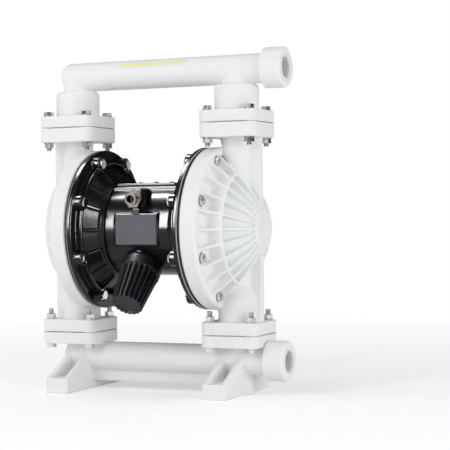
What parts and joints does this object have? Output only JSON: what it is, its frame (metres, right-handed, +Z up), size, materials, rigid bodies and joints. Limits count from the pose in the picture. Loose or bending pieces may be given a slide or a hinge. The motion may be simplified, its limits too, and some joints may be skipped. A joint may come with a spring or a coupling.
{
  "type": "air-operated double diaphragm pump",
  "caption": "Air-operated double diaphragm pump with plastic fluid caps, pipe manifolds, black air section, ball check valves and a fluted exhaust muffler.",
  "frame": {"origin": "centre of the foot bolt pattern, on the plane the feet stand on", "axes": "+X towards the two ports along the pump axis, +Y to the back, +Z up"},
  "size_m": [0.392, 0.242, 0.5102],
  "materials": {
    "white_plastic": "satin moulded polypropylene",
    "black_paint": "gloss black coating on cast aluminium",
    "cast_aluminium": "as machined",
    "stainless": "stainless fasteners",
    "steel_rod": "ground and polished",
    "nickel": "nickel plated",
    "ptfe": "smooth moulded",
    "rubber": "matte moulded",
    "black_plastic": "matte moulded",
    "bronze": "sintered bronze",
    "plate_metal": "satin, bare",
    "porous_plastic": "porous",
    "gasket_sheet": "sheet"
  },
  "bodies": {
    "root": {"outlet_manifold": "white_plastic", "inlet_manifold": "white_plastic", "fluid_cap_right": "white_plastic", "fluid_cap_left": "white_plastic", "air_chamber_right": "black_paint", "air_chamber_left": "black_paint", "center_body": "black_paint", "valve_cover": "black_paint", "valve_cover_gasket": "gasket_sheet", "air_chamber_gaskets": "gasket_sheet", "ball_seats": "white_plastic", "seat_seals": "ptfe", "rubber_diaphragm_right": "rubber", "rubber_diaphragm_left": "rubber", "ptfe_diaphragm_right": "ptfe", "ptfe_diaphragm_left": "ptfe", "valve_sleeve": "bronze", "rod_bushings": "bronze", "rod_seals": "rubber", "pilot_bushings": "bronze", "valve_end_plugs": "cast_aluminium", "air_inlet_fitting": "nickel", "muffler_body": "black_plastic", "muffler_element": "porous_plastic", "nameplate": "plate_metal", "flange_bolts": "stainless", "flange_nuts": "stainless", "flange_washers": "stainless", "cap_bolts": "stainless", "cap_nuts": "stainless", "cap_washers": "stainless", "chamber_screws": "stainless", "valve_cover_screws": "stainless", "passage_plugs": "black_paint"},
    "rod": {"main_rod": "steel_rod", "inner_plate_right": "cast_aluminium", "inner_plate_left": "cast_aluminium", "outer_plate_right": "white_plastic", "outer_plate_left": "white_plastic"},
    "pilot": {"pilot_rod": "steel_rod"},
    "spool": {"valve_spool": "cast_aluminium"},
    "inlet_ball_left": {"inlet_ball_left": "ptfe"},
    "inlet_ball_right": {"inlet_ball_right": "ptfe"},
    "outlet_ball_left": {"outlet_ball_left": "ptfe"},
    "outlet_ball_right": {"outlet_ball_right": "ptfe"}
  },
  "joints": [
    {"name": "rod_slide", "type": "slide", "parent": "root", "child": "rod", "axis": [1, 0, 0], "range_m": [-0.01, 0.01], "deforming": ["rubber_diaphragm_left", "rubber_diaphragm_right", "ptfe_diaphragm_left", "ptfe_diaphragm_right"]},
    {"name": "pilot_slide", "type": "slide", "parent": "root", "child": "pilot", "axis": [1, 0, 0], "range_m": [-0.005, 0.005]},
    {"name": "spool_slide", "type": "slide", "parent": "root", "child": "spool", "axis": [1, 0, 0], "range_m": [-0.006, 0.006]},
    {"name": "inlet_ball_left_lift", "type": "slide", "parent": "root", "child": "inlet_ball_left", "axis": [0, 0, 1], "range_m": [0, 0.008]},
    {"name": "inlet_ball_right_lift", "type": "slide", "parent": "root", "child": "inlet_ball_right", "axis": [0, 0, 1], "range_m": [0, 0.008]},
    {"name": "outlet_ball_left_lift", "type": "slide", "parent": "root", "child": "outlet_ball_left", "axis": [0, 0, 1], "range_m": [0, 0.008]},
    {"name": "outlet_ball_right_lift", "type": "slide", "parent": "root", "child": "outlet_ball_right", "axis": [0, 0, 1], "range_m": [0, 0.008]}
  ],
  "couplings": [
    {"joint": "pilot_slide", "follows": "rod_slide", "ratio": 0.5}
  ]
}
